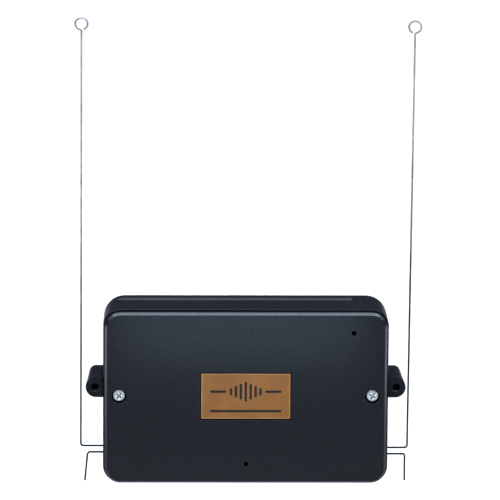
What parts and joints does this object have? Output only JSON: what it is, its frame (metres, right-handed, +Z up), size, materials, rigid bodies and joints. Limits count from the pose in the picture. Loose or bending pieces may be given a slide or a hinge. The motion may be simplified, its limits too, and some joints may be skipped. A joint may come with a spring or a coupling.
{
  "type": "wireless alarm receiver",
  "caption": "Wall-mounted radio receiver box with a screwed cover, two tall aerial wires with eyelets, two short counterpoise wires and a circuit board with terminals.",
  "frame": {"origin": "middle of the flat rear face of the housing, on the wall", "axes": "+X to the right seen from the front, +Y into the wall, +Z up along the aerials"},
  "size_m": [0.2175, 0.0385, 0.304],
  "materials": {
    "case_plastic": "fine moulded texture, semi-matt",
    "plate_metal": "brushed, copper-tinted lacquer",
    "bright_screw": "zinc plated, worn slots",
    "aerial_wire": "drawn, tinned",
    "board_laminate": "green solder mask",
    "terminal_plastic": "moulded",
    "plain_steel": "zinc plated",
    "shield_tin": "folded tinplate",
    "chip_plastic": "moulded epoxy",
    "socket_plastic": "moulded",
    "can_sleeve": "shrunk sleeve",
    "led_resin": "clear red resin",
    "switch_plastic": "moulded",
    "button_plastic": "moulded",
    "address_red": "moulded",
    "slider_white": "moulded",
    "resistor_body": "dipped",
    "network_body": "dipped",
    "disc_body": "dipped ceramic",
    "crystal_can": "drawn can"
  },
  "bodies": {
    "housing": {"rear_housing": "case_plastic", "circuit_board": "board_laminate", "board_screws": "plain_steel", "left_aerial_terminal": "terminal_plastic", "right_aerial_terminal": "terminal_plastic", "aerial_clamp_screws": "plain_steel", "bus_terminal": "terminal_plastic", "bus_clamp_screws": "plain_steel", "processor_socket": "socket_plastic", "processor": "chip_plastic", "memory_chip": "chip_plastic", "crystal": "crystal_can", "left_radio_shield": "shield_tin", "right_radio_shield": "shield_tin", "voltage_regulator": "chip_plastic", "filter_capacitors": "can_sleeve", "led_spacer": "switch_plastic", "status_led": "led_resin", "enrol_switch": "switch_plastic", "tamper_switch": "switch_plastic", "address_switch": "address_red", "resistor_networks": "network_body", "resistors": "resistor_body", "ceramic_capacitors": "disc_body", "jumper_header": "switch_plastic", "jumper_cap": "switch_plastic"},
    "cover": {"front_cover": "case_plastic", "nameplate": "plate_metal", "cover_screws": "bright_screw"},
    "left_aerial_wire": {"left_aerial": "aerial_wire"},
    "right_aerial_wire": {"right_aerial": "aerial_wire"},
    "left_counterpoise_wire": {"left_counterpoise": "aerial_wire"},
    "right_counterpoise_wire": {"right_counterpoise": "aerial_wire"},
    "tamper": {"tamper_plunger": "slider_white"},
    "enrol": {"enrol_button": "button_plastic"},
    "address_1": {"address_slider_1": "slider_white"},
    "address_2": {"address_slider_2": "slider_white"},
    "address_3": {"address_slider_3": "slider_white"},
    "address_4": {"address_slider_4": "slider_white"}
  },
  "joints": [
    {"name": "cover_lift", "type": "slide", "parent": "housing", "child": "cover", "axis": [0, -1, 0], "range_m": [0, 0.045]},
    {"name": "left_aerial_tilt", "type": "hinge", "parent": "housing", "child": "left_aerial_wire", "pos_m": [-0.0745, -0.015, -0.03855], "axis": [1, 0, 0], "range_deg": [-2.5, 90]},
    {"name": "right_aerial_tilt", "type": "hinge", "parent": "housing", "child": "right_aerial_wire", "pos_m": [0.0745, -0.015, -0.03965], "axis": [1, 0, 0], "range_deg": [-2.5, 90]},
    {"name": "left_counterpoise_tilt", "type": "hinge", "parent": "housing", "child": "left_counterpoise_wire", "pos_m": [-0.0745, -0.015, -0.04275], "axis": [1, 0, 0], "range_deg": [-90, 40]},
    {"name": "right_counterpoise_tilt", "type": "hinge", "parent": "housing", "child": "right_counterpoise_wire", "pos_m": [0.0745, -0.015, -0.04385], "axis": [1, 0, 0], "range_deg": [-90, 40]},
    {"name": "tamper_slide", "type": "slide", "parent": "housing", "child": "tamper", "axis": [0, -1, 0], "range_m": [0, 0.0012]},
    {"name": "enrol_press", "type": "slide", "parent": "housing", "child": "enrol", "axis": [0, 1, 0], "range_m": [0, 0.0003], "stiffness_N_per_m": 400, "springref_m": -0.0035},
    {"name": "address_slide_1", "type": "slide", "parent": "housing", "child": "address_1", "axis": [1, 0, 0], "range_m": [0, 0.0018]},
    {"name": "address_slide_2", "type": "slide", "parent": "housing", "child": "address_2", "axis": [1, 0, 0], "range_m": [0, 0.0018]},
    {"name": "address_slide_3", "type": "slide", "parent": "housing", "child": "address_3", "axis": [1, 0, 0], "range_m": [0, 0.0018]},
    {"name": "address_slide_4", "type": "slide", "parent": "housing", "child": "address_4", "axis": [1, 0, 0], "range_m": [0, 0.0018]}
  ],
  "couplings": [
    {"joint": "tamper_slide", "follows": "cover_lift", "ratio": 0.02666}
  ]
}
